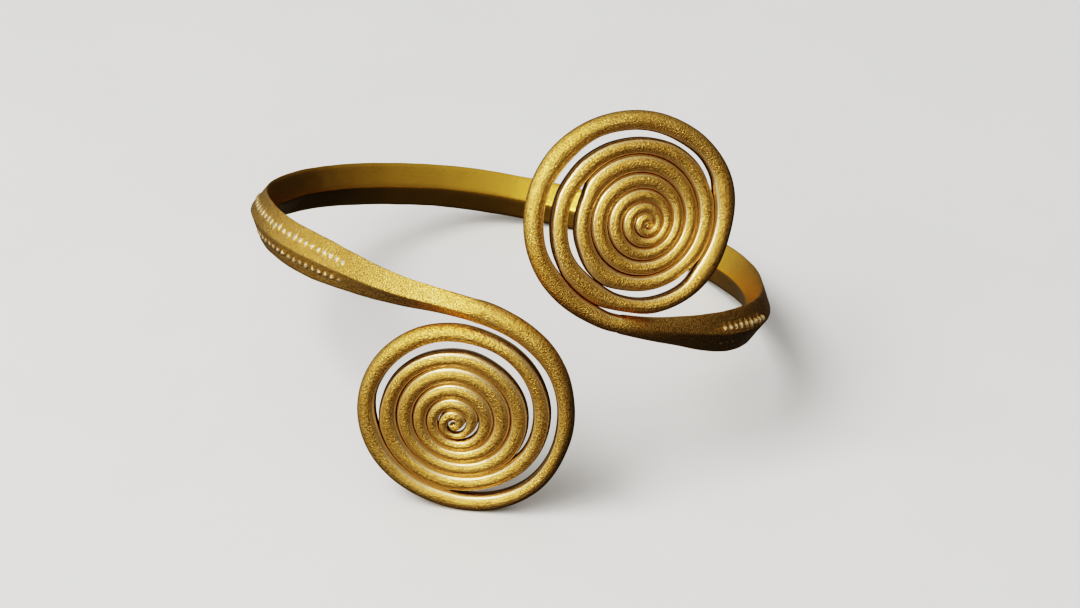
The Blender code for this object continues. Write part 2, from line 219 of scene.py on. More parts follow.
def between_places(at, places):
    """A value in millimetres that runs smoothly through the stated places, in metres."""
    place, value = np.array(places).T
    steep = np.diff(value) / np.diff(place)
    before, after = steep[:-1], steep[1:]
    same_way = before * after > 0
    slope = np.zeros(len(place))
    slope[1:-1][same_way] = (2 * before * after / np.where(same_way, before + after, 1.0))[same_way]
    k = np.clip(np.searchsorted(place, at, side="right") - 1, 0, len(place) - 2)
    step = place[k + 1] - place[k]
    s = np.clip((at - place[k]) / step, 0.0, 1.0)
    level = value[k] + (value[k + 1] - value[k]) * smooth(s)
    bend = slope[k] * s * (1 - s) ** 2 - slope[k + 1] * s**2 * (1 - s)
    return (level + step * bend) * MM


def run_length(points):
    return np.concatenate([[0.0], np.linalg.norm(np.diff(points, axis=0), axis=1)]).cumsum()


def groove_radius(turn, shape):
    spread = shape["spread"]
    even = spread[0] + spread[1] * turn + spread[2] * turn**2 + spread[3] * turn**3
    return even + between_places(turn, shape["shifts"])


def coil_axes(turn_out, tip_up):
    facing = np.array([sin(turn_out) * cos(tip_up), -cos(turn_out) * cos(tip_up), sin(tip_up)])
    up = unit(np.array([0.0, 0.0, 1.0]) - facing[2] * facing)
    return np.cross(up, facing), up, facing


def eye_rim(turns, angle, shape):
    """How far the rim of the round hole at the eye is from the drifting middle of the turns."""
    hole, aside, above, held = shape["eye"]
    aside = aside + held * shape["drift"][0] * (0.5 - turns)
    above = above + held * shape["drift"][1] * (0.5 - turns)
    towards = aside * np.cos(angle) + above * np.sin(angle)
    across = above * np.cos(angle) - aside * np.sin(angle)
    lean = held * (shape["drift"][0] * np.cos(angle) + shape["drift"][1] * np.sin(angle)) / 2.0
    return towards + np.sqrt(np.maximum(hole**2 - across**2, 0.0)) + lean


def coil(turns, shape, groove):
    right, up, facing = coil_axes(shape["turn_out"], shape["tip_up"])
    angle = 2.0 * pi * (turns - shape["phase"]) + shape["met_from"] * pi / 2.0
    outside = groove_radius(turns, shape)
    inside = np.maximum(groove_radius(turns - 1.0, shape), eye_rim(turns, angle, shape))
    widths = [
        np.maximum(between_places(t, shape["gaps"]) + min(groove, 0.0), groove) for t in (turns, turns - 1.0)
    ]
    radius = (outside + inside) / 2.0 - (widths[0] - widths[1]) / 4.0
    half = (outside - inside) / 2.0 - (widths[0] + widths[1]) / 4.0
    half += (shape["drift"][0] * np.cos(angle) + shape["drift"][1] * np.sin(angle)) / 2.0
    depth = np.minimum(WIRE_DEPTH_AT_EYE + WIRE_DEPTH_GROWTH * turns, 1.6 * half)
    off = turns - 0.5
    points = (
        np.array(shape["centre"])
        + np.outer(shape["drift"][0] * off + radius * np.cos(angle), right)
        + np.outer(shape["drift"][1] * off + radius * np.sin(angle), up)
    )
    return points, half, depth, np.tile(facing, (len(turns), 1))


def leaving(turn, shape):
    points = coil(np.array([turn - 0.01, turn]), shape, 0.0)[0]
    return unit(points[1] - points[0])


def hoop(angle):
    start, end = 2.0 * pi - HOOP_END_LEFT, HOOP_END_RIGHT
    along = (start - angle) / (start - end)
    height = HOOP_LEFT_RISE * (1.0 - along) ** 2 + HOOP_RIGHT_RISE * along**2
    bent = (
        HOOP_SKEW * np.sin(2.0 * angle)
        + HOOP_LOBES[0] * np.cos(3.0 * angle)
        + HOOP_LOBES[1] * np.sin(3.0 * angle)
    )
    bent += sum(bulge * np.exp(-(((angle - at) / reach) ** 2)) for bulge, at, reach in HOOP_BULGES)
    out_of_round = 1.0 + bent / HOOP_HALF_WIDTH
    x = HOOP_HALF_WIDTH * out_of_round * np.sin(angle)
    y = -HOOP_HALF_DEPTH * out_of_round * np.cos(angle)
    return np.stack([x, y, height], axis=1)


def swing(start, start_pull, end, end_pull, s):
    s = s[:, None]
    return (
        (1 - s) ** 3 * start
        + 3 * (1 - s) ** 2 * s * (start + start_pull)
        + 3 * (1 - s) * s**2 * (end - end_pull)
        + s**3 * end
    )


def eased(values, length, first, last):
    """Smooths values along the wire between the coils, fading to nothing at each coil."""
    share = np.gradient(length)
    weight = np.exp(-(((length[:, None] - length[None, :]) / EASING) ** 2) / 2.0) * share
    mean = weight @ values / weight.sum(axis=1)[:, None]
    blend = smooth(np.minimum(length - first, last - length) / (3.0 * EASING))[:, None]
    return values * (1.0 - blend) + mean * blend


def centreline(lower_turns, upper_turns, hoop_angles, lower_bends, upper_bends, groove):
    """The whole wire, from the lower coil's tip to the upper coil's."""
    low, low_half, low_depth, low_out = coil(lower_turns, LOWER, groove)
    top, top_half, top_depth, top_out = (part[::-1] for part in coil(upper_turns, UPPER, groove))
    bar = hoop(hoop_angles)
    bar_start = hoop(2.0 * pi - HOOP_END_LEFT - np.array([0.0, 0.01]))
    bar_end = hoop(HOOP_END_RIGHT + np.array([0.01, 0.0]))
    bar_out = unit(bar * [1.0 / HOOP_HALF_WIDTH**2, 1.0 / HOOP_HALF_DEPTH**2, 0.0])
    down = swing(
        low[-1], leaving(lower_turns[-1], LOWER) * LOWER_SWING[0],
        bar[0], unit(bar_start[1] - bar_start[0]) * LOWER_SWING[1], lower_bends,
    )[1:-1]
    rise = swing(
        bar[-1], unit(bar_end[1] - bar_end[0]) * UPPER_SWING[1],
        top[0], -leaving(upper_turns[-1], UPPER) * UPPER_SWING[0], upper_bends,
    )[1:-1]
    share = smooth(lower_bends)[1:-1, None]
    down_out = unit((1 - share) * low_out[-1] + share * bar_out[0])
    share = smooth(upper_bends)[1:-1, None]
    rise_out = unit((1 - share) * bar_out[-1] + share * top_out[0])
    points = np.vstack([low, down, bar, rise, top])
    outward = np.vstack([low_out, down_out, bar_out, rise_out, top_out])
    length = run_length(points)
    first, last = length[len(low) - 1], length[-len(top)]
    across = np.clip((length - first) / (last - first), 0.0, 1.0)
    half = low_half[-1] + (top_half[0] - low_half[-1]) * across
    half[: len(low)], half[-len(top):] = low_half, top_half
    depth = low_depth[-1] + (top_depth[0] - low_depth[-1]) * across
    depth[: len(low)], depth[-len(top):] = low_depth, top_depth
    outward = unit(eased(outward, length, first, last))
    points = eased(points, length, first, last)
    angle = np.arctan2(points[:, 0], -points[:, 1]) % (2.0 * pi)
    lift = sum(height * np.exp(-(((angle - at) / reach) ** 2)) for height, at, reach in HOOP_LIFTS)
    points[:, 2] += lift * smooth(np.minimum(length - first, last - length) / (3.0 * EASING))
    in_coil = (length < first + 1e-9) | (length > last - 1e-9)
    return points, half, depth, outward, in_coil


def section_shares(points, in_coil):
    """How far the section has gone from wire to bar: in its size, and in its shape."""
    azimuth = np.arctan2(points[:, 0], -points[:, 1])
    right = (azimuth > 0).astype(int)
    size = smooth((np.abs(azimuth) - BAR_ROUND_FROM) / (BAR_FULL_FROM - BAR_ROUND_FROM))
    start, full = np.array(RIDGE_FROM)[right], np.array(RIDGE_FULL)[right]
    shape = smooth((np.abs(azimuth) - start) / (full - start))
    return np.where(in_coil, 0.0, size), np.where(in_coil, 0.0, shape)


def section_axes(points, outward):
    tangent = unit(np.gradient(points, axis=0))
    out = unit(outward - (outward * tangent).sum(axis=1)[:, None] * tangent)
    return tangent, out, np.cross(tangent, out)


def lying(points):
    z = unit(LYING_UP)
    x = unit(np.array([1.0, 0.0, 0.0]) - z[0] * z)
    return points @ np.stack([x, np.cross(z, x), z]).T


def solid_place():
    """How far the lying wire is moved so that it stands where the solid stands."""
    turn_steps, hoop_steps, swing_steps = SOLID_STEPS
    turns = []
    for shape in (LOWER, UPPER):
        end = OUTER_TURN + shape["phase"]
        steps = np.arange(shape["hook_end"], end + 1e-6, 1.0 / turn_steps)
        turns.append(steps + end - steps[-1])
    angles = np.linspace(2.0 * pi - HOOP_END_LEFT, HOOP_END_RIGHT, hoop_steps)
    bends = np.linspace(0.0, 1.0, swing_steps)
    points, half, depth, outward, in_coil = centreline(*turns, angles, bends, bends, SOLID_GROOVE)
    size, share = section_shares(points, in_coil)
    out, side = section_axes(points, outward)[1:]
    tall = half * (1 - size) + BAR_HALF_HEIGHT * size
    thick = depth * (1 - size) + BAR_HALF_THICKNESS * size
    rings = []
    for k in range(SOLID_SIDES):
        a = 2.0 * pi * k / SOLID_SIDES
        reach = (1 - share) + share / (abs(cos(a)) + abs(sin(a)))
        across, deep = reach * tall * cos(a), reach * thick * sin(a)
        rings.append(points + across[:, None] * side + deep[:, None] * out)
    rings = lying(np.stack(rings, axis=1))
    low, high = rings.min(axis=(0, 1)), rings.max(axis=(0, 1))
    return np.array([(low[0] + high[0]) / 2.0, (low[1] + high[1]) / 2.0, low[2] + REST_FLAT_DEPTH])


def spaced(values, points, step):
    """The values again, at places step apart along the points; step may vary."""
    length = run_length(points)
    pace = np.concatenate([[0.0], np.diff(length) / ((step[1:] + step[:-1]) / 2.0)]).cumsum()
    return np.interp(np.linspace(0.0, pace[-1], int(round(pace[-1])) + 1), pace, values)


def coil_turns(shape):
    turns = np.linspace(shape["hook_end"] - shape["tip_runs_on"], OUTER_TURN + shape["phase"], 6000)
    points = coil(turns, shape, 0.0)[0]
    radius = (groove_radius(turns, shape) + np.maximum(groove_radius(turns - 1, shape), shape["eye"][0])) / 2
    return spaced(turns, points, np.minimum(WIRE_STEP, EYE_STEP * radius))


def dot_reach(row):
    """From and to which azimuth a row runs, in radians."""
    first, count, pitch = row[2:5]
    span = (count - 1) * pitch * MM / HOOP_HALF_WIDTH
    return radians(first), radians(first) + span * 1.08


def bar_steps(points):
    """Step along the bar at each point: short where there are dots."""
    azimuth = np.arctan2(points[:, 0], -points[:, 1])
    step = np.full(len(points), HOOP_STEP)
    for side in (-1, 1):
        starts, ends = zip(*(dot_reach(row) for row in DOT_ROWS if row[0] == side))
        step[(azimuth * side > min(starts) - 0.05) & (azimuth * side < max(ends) + 0.05)] = DOT_STEP
    return step


def fine_centreline():
    """The wire's centreline with as many stations as the finish needs."""
    coils = coil_turns(LOWER), coil_turns(UPPER)
    angles = np.linspace(2.0 * pi - HOOP_END_LEFT, HOOP_END_RIGHT, 6000)
    bends = np.linspace(0.0, 1.0, 1500)
    points = hoop(angles)
    rough = centreline(*coils, angles[::20], bends, bends, 0.0)[0]
    down = rough[len(coils[0]) - 1:][:len(bends)]
    rise = rough[-len(coils[1]) - len(bends) + 1:][:len(bends)]
    parts = centreline(
        *coils, spaced(angles, points, bar_steps(points)), spaced(bends, down, bar_steps(down)),
        spaced(bends, rise, bar_steps(rise)), -TURNS_PRESSED,
    )
    turns = np.zeros(len(parts[0]))
    turns[: len(coils[0])], turns[-len(coils[1]):] = coils[0], coils[1][::-1]
    centres = np.full((len(turns), 3), UPPER["centre"])
    centres[: len(coils[0])] = LOWER["centre"]
    return (*parts, turns, centres)


def lozenge(quarter, along, tall, thick):
    """Points on a lozenge with rounded corners: quarter 0 runs from its top to its outer ridge."""
    grow = 1.0 / (1.0 - CORNER / 2.0)
    tall, thick = tall * grow, thick * grow
    corners = np.stack([
        np.stack([tall, 0 * tall], 1), np.stack([0 * thick, thick], 1),
        np.stack([-tall, 0 * tall], 1), np.stack([0 * thick, -thick], 1),
    ])
    start, end = corners[quarter], corners[(quarter + 1) % 4]
    before, after = corners[(quarter + 3) % 4], corners[(quarter + 2) % 4]
    f = along[:, None]
    w = CORNER
    flat = start * (1 - f) + end * f
    first = start + (end - start) * (f + w) ** 2 / (4 * w) - (start - before) * (w - f) ** 2 / (4 * w)
    g = f - 1.0
    second = end + (after - end) * (g + w) ** 2 / (4 * w) - (end - start) * (w - g) ** 2 / (4 * w)
    return np.where(f < w, first, np.where(f > 1 - w, second, flat))


def row_places(row, fraction):
    at = np.array([p[0] for p in row[5]])
    return np.interp(fraction, at, [p[1] for p in row[5]])


def dot_centres(points, length):
    """For each row: the run length of each dot and where it lies between the facet's edges."""
    azimuth = np.arctan2(points[:, 0], -points[:, 1])
    found = []
    for row in DOT_ROWS:
        side, facet, first, count, pitch = row[:5]
        bar = np.flatnonzero((azimuth * side > radians(30)) & (azimuth * side < radians(170)))
        start = np.interp(radians(first), *map(np.array, zip(*sorted(zip(azimuth[bar] * side, length[bar])))))
        runs = start - side * 0 + (1 if side < 0 else -1) * pitch * MM * np.arange(count)
        rows = row_places(row, np.linspace(0.0, 1.0, count))
        found.append((facet, runs, rows, row[6:]))
    return found


def dense_middle(length, centres, facet):
    """Where the close columns of a facet stand, following the rows of dots."""
    middle = np.full(len(length), 0.5)
    for row_facet, runs, places, _ in centres:
        if row_facet != facet:
            continue
        order = np.argsort(runs)
        low, high = runs.min() - 2.5 * MM, runs.max() + 2.5 * MM
        inside = (length > low) & (length < high)
        middle[inside] = np.interp(length[inside], runs[order], places[order])
        for edge, way in ((low, -1), (high, 1)):
            near = (length * way > edge * way) & (length * way < edge * way + 4 * MM)
            at_edge = places[order][0 if way < 0 else -1]
            middle[near] = 0.5 + (at_edge - 0.5) * (1 - smooth(np.abs(length[near] - edge) / (4 * MM)))
    return middle


def wire_rings():
    """Rings of points round the wire, and what each point needs for its shape and finish."""
    points, half, depth, outward, in_coil, turns, middles = fine_centreline()
    size, share = section_shares(points, in_coil)
    tangent, out, side = section_axes(points, outward)
    length = run_length(points)
    centres = dot_centres(points, length)
    tall = half * (1 - size) + BAR_HALF_HEIGHT * size
    thick = depth * (1 - size) + BAR_HALF_THICKNESS * size
    columns = []
    for quarter, places in enumerate((OUTER_FACET, OUTER_FACET, INNER_FACET, INNER_FACET)):
        places = np.array(places)
        middle = dense_middle(length, centres, quarter) if quarter < 2 else np.full(len(length), 0.5)
        for k, place in enumerate(places):
            if quarter >= 2:
                f = np.full(len(length), place)
            elif DENSE_FROM < place < DENSE_TO:
                f = middle + (place - 0.5)
            elif place < 0.5:
                f = place / SPARSE_SHARE * (middle - DENSE_REACH)
            else:
                f = 1 - (1 - place) / SPARSE_SHARE * (1 - middle - DENSE_REACH)
            f = (1 - share) * (k / len(places)) + share * f
            columns.append((quarter, f))
    across, deep, facet, angle = [], [], [], []
    for quarter, f in columns:
        a = (quarter + f) * pi / 2
        flat = lozenge(quarter, f, tall, thick)
        across.append((1 - share) * tall * np.cos(a) + share * flat[:, 0])
        deep.append((1 - share) * thick * np.sin(a) + share * flat[:, 1])
        facet.append(quarter + f)
        angle.append(a)
    across, deep, facet, angle = (np.stack(v, 1) for v in (across, deep, facet, angle))
    rings = points[:, None] + across[..., None] * side[:, None] + deep[..., None] * out[:, None]
    # Where the wire's sides face the neighbouring turns of a coil, leaving out the outer side of the last
    # turn. The gold paints a reflection of those turns there, and shade at the groove bottoms.
    outer_side = np.sign(((points - middles) * side).sum(axis=1))[:, None] * np.cos(angle)
    last_turn = smooth((turns - OUTER_TURN + 0.9) / 0.15)[:, None] * smooth(outer_side / 0.1)
    sheltered = smooth((np.abs(np.cos(angle)) - 0.45) / 0.40) * in_coil[:, None] * (1.0 - last_turn)
    return {
        "rings": lying(rings) - solid_place(),
        "tangent": lying(tangent),
        "half": half,
        "length": length,
        "across": across,
        "deep": deep,
        "facet": facet,
        "angle": angle,
        "share": share,
        "in_coil": in_coil.astype(float),
        "sheltered": sheltered,
        "dots": centres,
    }


def tip_rings(ring, ahead, steps):
    """Shrinking rings that round off a cut end."""
    middle = ring.mean(axis=0)
    rings = []
    for k in range(1, steps):
        a = pi / 2 * k / steps
        rings.append(middle + cos(a) * (ring - middle) + 0.8 * sin(a) * ahead)
    return rings, middle + 0.8 * ahead


def ripples(points, size, seed):
    offset = Vector((seed * 7.31, seed * -3.17, seed * 5.73))
    return np.array([noise.noise(Vector(p) / size + offset) for p in points])


class BraceletSettings(bpy.types.PropertyGroup):
    hammer_depth: bpy.props.FloatProperty(
        name="Hammer Depth", description="How deep the hammer's flats lie in the bar",
        default=0.065 * MM, min=0.0, unit="LENGTH", precision=6,
    )
    wire_ripple: bpy.props.FloatProperty(
        name="Wire Ripple", description="How uneven the round wire is",
        default=0.018 * MM, min=0.0, unit="LENGTH", precision=6,
    )
    dot_depth: bpy.props.FloatProperty(
        name="Dot Depth", description="Depth of the punched dots against what each row states",
        default=1.0, min=0.0, unit="NONE",
    )
    gold_colour: bpy.props.FloatVectorProperty(
        name="Gold", description="Colour of the clean gold", subtype="COLOR", size=3,
        default=(0.97, 0.62, 0.20), min=0.0, max=1.0,
    )
    red_gold_colour: bpy.props.FloatVectorProperty(
        name="Red Gold", description="Colour of the gold where it is less rubbed", subtype="COLOR", size=3,
        default=(0.94, 0.575, 0.17), min=0.0, max=1.0,
    )
    # Painted reflection: a paler gold that stands in for the light the neighbouring turns throw on the wire's
    # sides.
    turn_reflection_colour: bpy.props.FloatVectorProperty(
        name="Painted Reflection", description="Colour of the gold between the turns",
        subtype="COLOR", size=3, default=(0.97, 0.76, 0.46), min=0.0, max=1.0,
    )
    # Painted shade: a darker, browner gold for the bar's inner facets, which face into the hoop.
    inner_shade_colour: bpy.props.FloatVectorProperty(
        name="Inner Shade", description="Colour of the gold inside the bar", subtype="COLOR", size=3,
        default=(0.84, 0.52, 0.10), min=0.0, max=1.0,
    )
    dust_colour: bpy.props.FloatVectorProperty(
        name="Dust", description="Colour of what has settled in the grain", subtype="COLOR", size=3,
        default=(0.42, 0.22, 0.06), min=0.0, max=1.0,
    )
    # Painted shade: a dark brown laid where the turns meet, for the shadow deep in the grooves between them.
    groove_shade_colour: bpy.props.FloatVectorProperty(
        name="Groove Shade", description="Colour at the bottom of the grooves", subtype="COLOR", size=3,
        default=(0.15, 0.065, 0.02), min=0.0, max=1.0,
    )
    # Painted glint: a pale gold in the punched dots that stands in for the light their walls catch.
    punched_glint_colour: bpy.props.FloatVectorProperty(
        name="Punched Glint", description="Colour of the gold where the punch pressed it bright",
        subtype="COLOR", size=3, default=(1.0, 0.89, 0.68), min=0.0, max=1.0,
    )
    satin: bpy.props.FloatProperty(
        name="Satin", description="Roughness of the gold where it is least polished",
        default=0.27, min=0.0, max=1.0, subtype="FACTOR",
    )
    polish: bpy.props.FloatProperty(
        name="Polish", description="Roughness of the gold where it is most polished",
        default=0.17, min=0.0, max=1.0, subtype="FACTOR",
    )
    floor_colour: bpy.props.FloatVectorProperty(
        name="Floor", description="Colour of the floor", subtype="COLOR", size=3,
        default=(0.72, 0.71, 0.69), min=0.0, max=1.0,
    )
    key_power: bpy.props.FloatProperty(
        name="Key Lamp", description="Power of the main lamp", default=1.05, min=0.0, unit="POWER",
    )
    core_power: bpy.props.FloatProperty(
        name="Lamp Core", description="Power of the main lamp's bright core", default=0.5, min=0.0,
        unit="POWER",
    )
    floor_power: bpy.props.FloatProperty(
        name="Floor Lamp", description="Power of the lamp that lights the floor", default=9.0, min=0.0,
        unit="POWER",
    )
    window_light: bpy.props.FloatProperty(
        name="Window Light", description="Brightness of the room towards the left and front", default=0.46,
        min=0.0,
    )
    ceiling_light: bpy.props.FloatProperty(
        name="Ceiling Light", description="Brightness of the room overhead", default=0.27, min=0.0,
    )
    dark_side: bpy.props.FloatProperty(
        name="Dark Side", description="Brightness of the room's darker side", default=0.125, min=0.0,
    )


class BRACELET_OT_wire(bpy.types.Operator):
    """Builds the bar and its two coils as one closed mesh"""

    bl_idname = "bracelet.wire"
    bl_label = "Wire"

    def execute(self, context):
        data = wire_rings()
        rings = data["rings"]
        stations, sides = rings.shape[:2]
        verts = [rings.reshape(-1, 3)]
        faces = []
        index = np.arange(stations * sides).reshape(stations, sides)
        nxt = np.roll(index, -1, axis=1)
        quads = np.stack([index[:-1], nxt[:-1], nxt[1:], index[1:]], axis=2).reshape(-1, 4)
        faces += quads.tolist()
        total = stations * sides
        station_of = [np.repeat(np.arange(stations), sides)]
        column_of = [np.tile(np.arange(sides), stations)]
        for end, way in ((0, -1.0), (stations - 1, 1.0)):
            ahead = way * data["tangent"][end] * data["half"][end]
            caps, tip = tip_rings(rings[end], ahead, 7)
            last = index[end]
            for ring in caps:
                verts.append(ring)
                now = np.arange(total, total + sides)
                total += sides
                station_of.append(np.full(sides, end))
                column_of.append(np.arange(sides))
                pair = np.stack([last, np.roll(last, -1), np.roll(now, -1), now], axis=1)
                faces += (pair if way > 0 else pair[:, ::-1]).tolist()
                last = now
            verts.append(tip[None])
            station_of.append([end])
            column_of.append([0])
            fan = [[int(last[k]), int(last[(k + 1) % sides]), total] for k in range(sides)]
            faces += fan if way > 0 else [f[::-1] for f in fan]
            total += 1
        verts = np.vstack(verts)
        mesh = bpy.data.meshes.new(PIECE)
        mesh.from_pydata(verts.tolist(), [], faces)
        mesh.update()
        if mesh.validate():
            raise RuntimeError("the wire's mesh had faults")
        i, j = np.concatenate(station_of), np.concatenate(column_of)
        for name, values in (
            ("length", data["length"][i]),
            ("facet", data["facet"][i, j]),
            ("bar", data["share"][i]),
            ("coiled", data["in_coil"][i]),
            ("sheltered", data["sheltered"][i, j]),
        ):
            mesh.attributes.new(name, "FLOAT", "POINT").data.foreach_set("value", values.astype(np.float32))
        unbent = np.stack([data["length"][i], data["across"][i, j], data["deep"][i, j]], axis=1) / MM
        mesh.attributes.new("unbent", "FLOAT_VECTOR", "POINT").data.foreach_set(
            "vector", unbent.astype(np.float32).ravel()
        )
        piece = bpy.data.objects.new(PIECE, mesh)
        context.scene.collection.objects.link(piece)
        return {"FINISHED"}


def values_of(mesh, name):
    values = np.empty(len(mesh.vertices), np.float32)
    mesh.attributes[name].data.foreach_get("value", values)
    return values.astype(float)


def displace(mesh, amount):
    """Moves each point out along its normal."""
    co = np.empty(len(mesh.vertices) * 3, np.float32)
    mesh.vertices.foreach_get("co", co)
    normal = np.empty(len(mesh.vertices) * 3, np.float32)
    mesh.vertex_normals.foreach_get("vector", normal)
    co = co.reshape(-1, 3) + amount[:, None] * normal.reshape(-1, 3)
    co[:, 2] = np.maximum(co[:, 2], 0.0)
    mesh.vertices.foreach_set("co", co.astype(np.float32).ravel())
    mesh.update()


class BRACELET_OT_hammer(bpy.types.Operator):
    """Leaves the marks of the hammer on the bar and makes the wire slightly uneven"""

    bl_idname = "bracelet.hammer"
    bl_label = "Hammer Marks"

    def execute(self, context):
        settings = context.scene.bracelet
        mesh = bpy.data.objects[PIECE].data
        co = np.empty(len(mesh.vertices) * 3, np.float32)
        mesh.vertices.foreach_get("co", co)
        co = co.reshape(-1, 3).astype(float) / MM
        bar = values_of(mesh, "bar")
        beside = np.abs(np.cos(values_of(mesh, "facet") * pi / 2)) ** 6 * values_of(mesh, "coiled")
        flats = ripples(co, 5.5, 1) + 0.5 * ripples(co, 2.4, 2)
        fine = ripples(co, 3.0, 3) + 0.4 * ripples(co, 1.1, 4)
        fine *= settings.wire_ripple * (1 - 0.5 * bar) * (1 - beside)
        displace(mesh, settings.hammer_depth * bar * flats + fine)
        return {"FINISHED"}


class BRACELET_OT_dots(bpy.types.Operator):
    """Punches the rows of dots into the outer facets"""

    bl_idname = "bracelet.dots"
    bl_label = "Punched Dots"

    def execute(self, context):
        settings = context.scene.bracelet
        mesh = bpy.data.objects[PIECE].data
        length, facet, bar = (values_of(mesh, name) for name in ("length", "facet", "bar"))
        points = fine_centreline()[0]
        facet_width = (BAR_HALF_HEIGHT**2 + BAR_HALF_THICKNESS**2) ** 0.5
        pushed = np.zeros(len(length))
        pit = np.zeros(len(length))
        rng = np.random.default_rng(7)
        for row_facet, runs, places, stamp in dot_centres(points, run_length(points)):
            width, tallness, depth, middle = stamp
            for run, place in zip(runs, places):
                run += rng.normal(0.0, 0.04) * MM
                place += rng.normal(0.0, 0.012)
                size = width / 2.0 * MM * (1.0 + rng.normal(0.0, 0.06))
                deep = settings.dot_depth * depth * MM * (1.0 + rng.normal(0.0, 0.12))
                near = np.flatnonzero((np.abs(length - run) < 2.2 * size) & (bar > 0.5))
                aside = (facet[near] - row_facet - place) * facet_width / tallness
                r = np.hypot(length[near] - run, aside) / size
                bowl = -deep * np.clip(1.0 - r**2.6, 0.0, 1.0)
                bowl += deep * (1.0 - middle) * np.exp(-((r / 0.42) ** 2))
                lip = 0.26 * deep * np.exp(-(((r - 1.15) / 0.2) ** 2))
                pushed[near] += bowl + lip
                pit[near] = np.maximum(pit[near], np.clip(1.3 * (1.15 - r), 0, 1))
        displace(mesh, pushed)
        mesh.attributes.new("punched", "FLOAT", "POINT").data.foreach_set("value", pit.astype(np.float32))
        return {"FINISHED"}


class Nodes:
    """Adds and joins nodes in one material."""

    def __init__(self, tree):
        self.tree = tree

    def add(self, kind, inputs=None, **settings):
        node = self.tree.nodes.new(kind)
        for key, value in settings.items():
            setattr(node, key, value)
        for key, value in (inputs or {}).items():
            if isinstance(value, bpy.types.NodeSocket):
                self.tree.links.new(value, node.inputs[key])
            else:
                node.inputs[key].default_value = value
        return node

    def maths(self, operation, a, b=0.0, c=0.0, clamp=False):
        return self.add("ShaderNodeMath", {0: a, 1: b, 2: c}, operation=operation, use_clamp=clamp).outputs[0]

    def between(self, value, low, high, to_low=0.0, to_high=1.0):
        return self.add(
            "ShaderNodeMapRange",
            {"Value": value, "From Min": low, "From Max": high, "To Min": to_low, "To Max": to_high},
            interpolation_type="SMOOTHSTEP",
        ).outputs["Result"]

    def mix(self, share, a, b):
        node = self.add("ShaderNodeMix", data_type="RGBA")
        for key, value in (("Factor", share), ("A", a), ("B", b)):
            kind = "VALUE" if key == "Factor" else "RGBA"
            socket = next(s for s in node.inputs if s.name == key and s.type == kind)
            if isinstance(value, bpy.types.NodeSocket):
                self.tree.links.new(value, socket)
            else:
                socket.default_value = value
        return next(s for s in node.outputs if s.type == "RGBA")

    def noise(self, vector, scale, detail=2.0, roughness=0.5):
        return self.add(
            "ShaderNodeTexNoise",
            {"Vector": vector, "Scale": scale, "Detail": detail, "Roughness": roughness},
        ).outputs["Fac"]

    def stretched(self, vector, scale):
        return self.add("ShaderNodeMapping", {"Vector": vector, "Scale": scale}).outputs[0]

    def attribute(self, name):
        return self.add("ShaderNodeAttribute", attribute_name=name)


